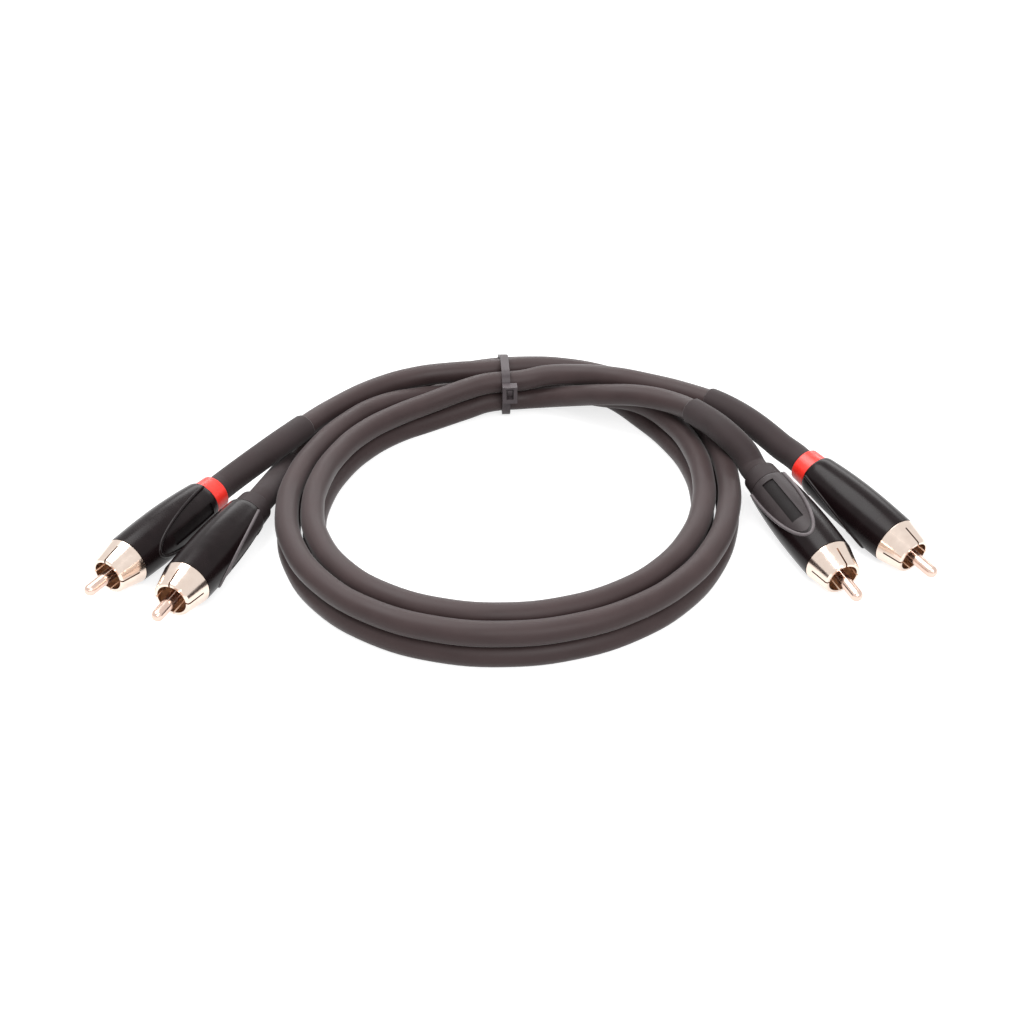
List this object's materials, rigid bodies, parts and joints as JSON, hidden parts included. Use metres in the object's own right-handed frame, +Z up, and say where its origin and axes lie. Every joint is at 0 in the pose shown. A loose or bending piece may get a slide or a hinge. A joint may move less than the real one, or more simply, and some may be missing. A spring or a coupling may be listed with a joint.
{
  "type": "rca audio cable pair, coiled",
  "caption": "Pair of dark grey audio cables with a phono (RCA) plug on each end, coiled together and held by a small cable tie.",
  "frame": {"origin": "the middle of the whole part in plan, on the surface that it lies on", "axes": "+Z up, +X to the right along the line of the four plugs, -Y towards the plugs' tips and the free front of the coil"},
  "size_m": [0.2216, 0.1434, 0.022],
  "materials": {
    "cable_jacket": "satin",
    "sleeve_rubber": "matte",
    "handle_black": "gloss",
    "pad_soft": "matte",
    "ring_red": "satin",
    "ring_black": "gloss",
    "collar_metal": "polished",
    "pin_metal": "polished",
    "tinned_steel": "satin",
    "insulator": "matte",
    "cable_core": "matte",
    "tie_nylon": "satin"
  },
  "bodies": {
    "root": {"red_left_pin": "pin_metal", "red_left_insulator": "insulator", "red_left_collar": "collar_metal", "red_left_crimp": "tinned_steel", "red_left_handle": "handle_black", "red_left_pad": "pad_soft", "red_left_ring": "ring_red", "red_left_sleeve": "sleeve_rubber", "red_left_core": "cable_core", "black_left_pin": "pin_metal", "black_left_insulator": "insulator", "black_left_collar": "collar_metal", "black_left_crimp": "tinned_steel", "black_left_handle": "handle_black", "black_left_pad": "pad_soft", "black_left_ring": "ring_black", "black_left_sleeve": "sleeve_rubber", "black_left_core": "cable_core", "black_right_pin": "pin_metal", "black_right_insulator": "insulator", "black_right_collar": "collar_metal", "black_right_crimp": "tinned_steel", "black_right_handle": "handle_black", "black_right_pad": "pad_soft", "black_right_ring": "ring_black", "black_right_sleeve": "sleeve_rubber", "black_right_core": "cable_core", "red_right_pin": "pin_metal", "red_right_insulator": "insulator", "red_right_collar": "collar_metal", "red_right_crimp": "tinned_steel", "red_right_handle": "handle_black", "red_right_pad": "pad_soft", "red_right_ring": "ring_red", "red_right_sleeve": "sleeve_rubber", "red_right_core": "cable_core", "red_left_lead": "cable_jacket", "black_left_lead": "cable_jacket", "black_right_lead": "cable_jacket", "red_right_lead": "cable_jacket", "red_coil": "cable_jacket", "black_coil": "cable_jacket", "cable_tie": "tie_nylon"}
  },
  "joints": []
}
